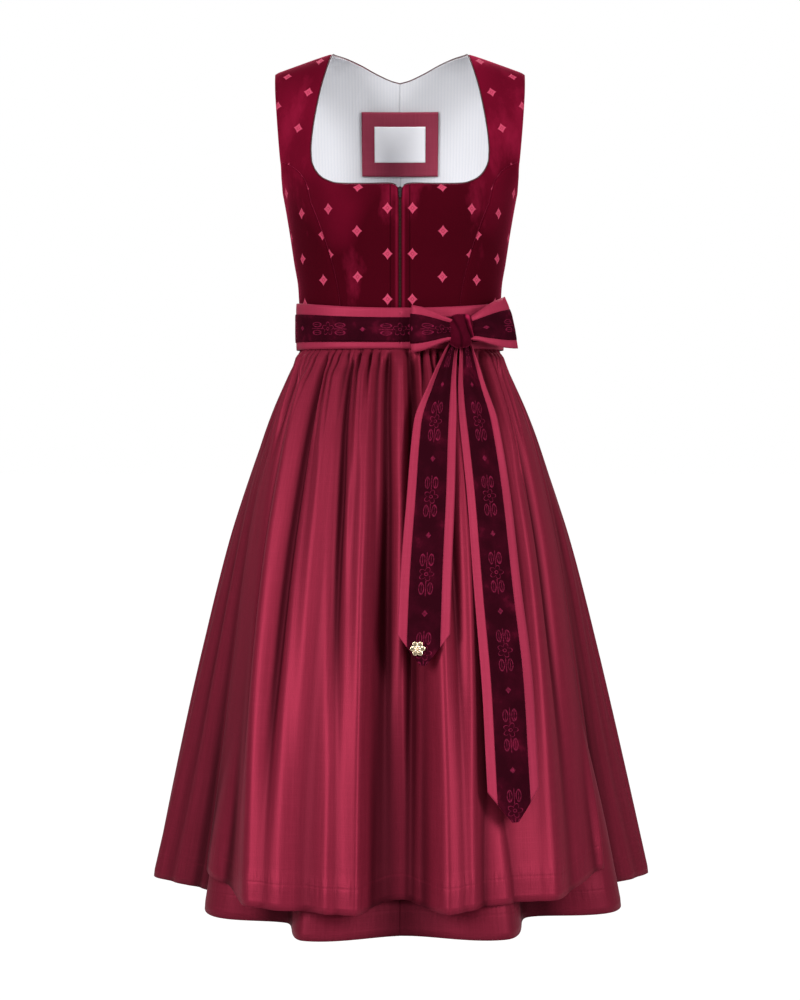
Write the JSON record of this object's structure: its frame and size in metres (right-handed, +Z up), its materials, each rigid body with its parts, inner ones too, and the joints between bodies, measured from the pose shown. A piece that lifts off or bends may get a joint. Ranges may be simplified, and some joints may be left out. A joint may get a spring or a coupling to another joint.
{
  "type": "sleeveless dirndl dress with apron, worn form without a wearer",
  "caption": "Sleeveless velvet-bodice dirndl with gathered skirt and apron, its ribbon waistband tied in a bow at the side; hollow as when worn.",
  "frame": {"origin": "midway between the inner ends of the two shoulder seams, where the wearer's shoulders hold the dress", "axes": "+Z up along the dress, +X towards the wearer's left, -Y to the front"},
  "size_m": [0.649, 0.6747, 1.0666],
  "materials": {
    "bodice_velvet": "dark red velvet with small woven diamonds",
    "lining": "white cotton with fine stripes",
    "patch_satin": "burgundy satin",
    "label": "white woven label, blank",
    "zip_tape": "dark woven tape",
    "zip_metal": "dark metal",
    "skirt_satin": "burgundy taffeta, soft sheen",
    "apron_satin": "wine-red satin, soft sheen",
    "ribbon_satin": "wine-red satin ribbon",
    "ribbon_velvet": "dark burgundy velvet with tone-on-tone embroidery",
    "gold": "polished gold-coloured metal"
  },
  "bodies": {
    "root": {"bodice_front_left": "bodice_velvet", "bodice_front_right": "bodice_velvet", "bodice_front_side_left": "bodice_velvet", "bodice_front_side_right": "bodice_velvet", "bodice_back_left": "bodice_velvet", "bodice_back_right": "bodice_velvet", "bodice_back_side_left": "bodice_velvet", "bodice_back_side_right": "bodice_velvet", "lining_front_left": "lining", "lining_front_right": "lining", "lining_back_left": "lining", "lining_back_right": "lining", "label_patch": "patch_satin", "label": "label", "zip_tape": "zip_tape", "zip_slider": "zip_metal", "skirt_front_left": "skirt_satin", "skirt_front_right": "skirt_satin", "skirt_back": "skirt_satin", "apron": "apron_satin", "waistband": "ribbon_satin", "waistband_velvet": "ribbon_velvet", "bow_knot": "ribbon_velvet", "bow_loop_left": "ribbon_satin", "bow_loop_right": "ribbon_satin", "bow_loop_velvet_left": "ribbon_velvet", "bow_loop_velvet_right": "ribbon_velvet", "bow_tail_left": "ribbon_satin", "bow_tail_right": "ribbon_satin", "bow_tail_velvet_left": "ribbon_velvet", "bow_tail_velvet_right": "ribbon_velvet", "brooch": "gold"}
  },
  "joints": []
}
